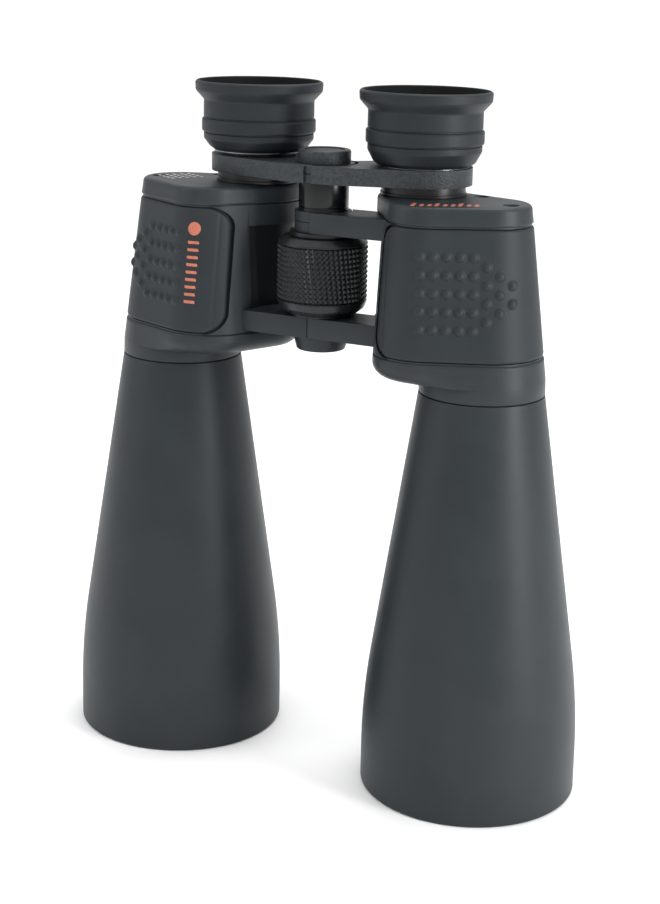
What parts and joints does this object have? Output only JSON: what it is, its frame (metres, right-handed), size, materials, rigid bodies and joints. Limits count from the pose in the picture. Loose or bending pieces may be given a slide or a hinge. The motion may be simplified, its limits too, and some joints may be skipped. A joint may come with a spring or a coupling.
{
  "type": "astronomy binoculars",
  "caption": "Large porro-prism binoculars with long tapered barrels, a centre focus wheel and bridge, flared rubber eyecups and a folding hinge.",
  "frame": {"origin": "on the ground, midway between the two barrels, which stand on their objective rims", "axes": "+Z from the objectives to the eyepieces, -Y towards the focus wheel side, +X to the left half of a user who looks through"},
  "size_m": [0.217, 0.0842, 0.27],
  "materials": {
    "barrel_paint": "satin fine-grain paint",
    "housing_paint": "satin paint on a casting",
    "bridge_paint": "fine wrinkle paint",
    "armour_rubber": "smooth matt rubber",
    "eyecup_rubber": "soft matt rubber",
    "black_anodised": "black anodised",
    "gloss_black": "polished black",
    "wheel_black": "glossy black with a knurled band",
    "bright_ring": "turned bright metal",
    "bare_metal": "machined",
    "spring_steel": "plain",
    "black_steel": "blackened screw",
    "spindle_steel": "turned",
    "socket_brass": "turned",
    "lens_glass": "coated optical glass"
  },
  "bodies": {
    "left_half": {"left_objective_tube": "barrel_paint", "left_objective_cell": "black_anodised", "left_crown_lens": "lens_glass", "left_flint_lens": "lens_glass", "left_objective_retainer": "black_anodised", "left_barrel_collar": "housing_paint", "left_bottom_cover": "housing_paint", "left_prism_housing": "housing_paint", "left_rubber_armour": "armour_rubber", "left_top_cover": "housing_paint", "left_prism_shelf": "bare_metal", "left_upper_prism": "lens_glass", "left_lower_prism": "lens_glass", "left_prism_clips": "spring_steel", "left_cover_screws": "black_steel", "left_guide_tube": "black_anodised", "upper_hinge_tube": "gloss_black", "lower_hinge_tube": "gloss_black", "thrust_washers": "spring_steel", "tripod_insert": "socket_brass", "tripod_boss": "housing_paint"},
    "right_half": {"right_objective_tube": "barrel_paint", "right_objective_cell": "black_anodised", "right_crown_lens": "lens_glass", "right_flint_lens": "lens_glass", "right_objective_retainer": "black_anodised", "right_barrel_collar": "housing_paint", "right_bottom_cover": "housing_paint", "right_prism_housing": "housing_paint", "right_rubber_armour": "armour_rubber", "right_top_cover": "housing_paint", "right_prism_shelf": "bare_metal", "right_upper_prism": "lens_glass", "right_lower_prism": "lens_glass", "right_prism_clips": "spring_steel", "right_cover_screws": "black_steel", "right_guide_tube": "black_anodised"},
    "focus_wheel": {"focus_wheel": "wheel_black"},
    "left_carriage": {"left_bridge_arm": "bridge_paint", "left_ocular_barrel": "black_anodised", "left_field_lens": "lens_glass", "left_eye_lens": "lens_glass", "left_eyecup_ring": "bright_ring", "left_eyecup": "eyecup_rubber", "focus_spindle": "spindle_steel", "bridge_hub": "black_anodised", "hinge_cap": "bridge_paint", "hinge_cap_disc": "bridge_paint"},
    "right_carriage": {"right_bridge_arm": "bridge_paint", "right_ocular_barrel": "black_anodised"},
    "right_lens_carrier": {"right_lens_cell": "black_anodised", "right_field_lens": "lens_glass", "right_eye_lens": "lens_glass"},
    "right_eyecup_turn": {"right_eyecup": "eyecup_rubber", "right_diopter_ring": "bright_ring"}
  },
  "joints": [
    {"name": "interpupillary", "type": "hinge", "parent": "left_half", "child": "right_half", "pos_m": [0, -0.0049, 0.2], "axis": [0, 0, -1], "range_deg": [0, 46]},
    {"name": "focus_turn", "type": "hinge", "parent": "left_half", "child": "focus_wheel", "pos_m": [0, -0.0049, 0.2], "axis": [0, 0, 1], "range_deg": [-134, 230]},
    {"name": "left_focus_slide", "type": "slide", "parent": "left_half", "child": "left_carriage", "axis": [0, 0, 1], "range_m": [-0.0035, 0.006]},
    {"name": "right_focus_slide", "type": "slide", "parent": "right_half", "child": "right_carriage", "axis": [0, 0, 1], "range_m": [-0.0035, 0.006]},
    {"name": "diopter_slide", "type": "slide", "parent": "right_carriage", "child": "right_lens_carrier", "axis": [0, 0, 1], "range_m": [-0.001, 0.0016]},
    {"name": "diopter_turn", "type": "hinge", "parent": "right_lens_carrier", "child": "right_eyecup_turn", "pos_m": [-0.03606, 0.0079, 0.25], "axis": [0, 0, 1], "range_deg": [-52, 83]}
  ],
  "couplings": [
    {"joint": "focus_turn", "follows": "left_focus_slide", "rad_per_m": 666.67},
    {"joint": "right_focus_slide", "follows": "left_focus_slide", "ratio": 1},
    {"joint": "diopter_turn", "follows": "diopter_slide", "rad_per_m": 900}
  ]
}
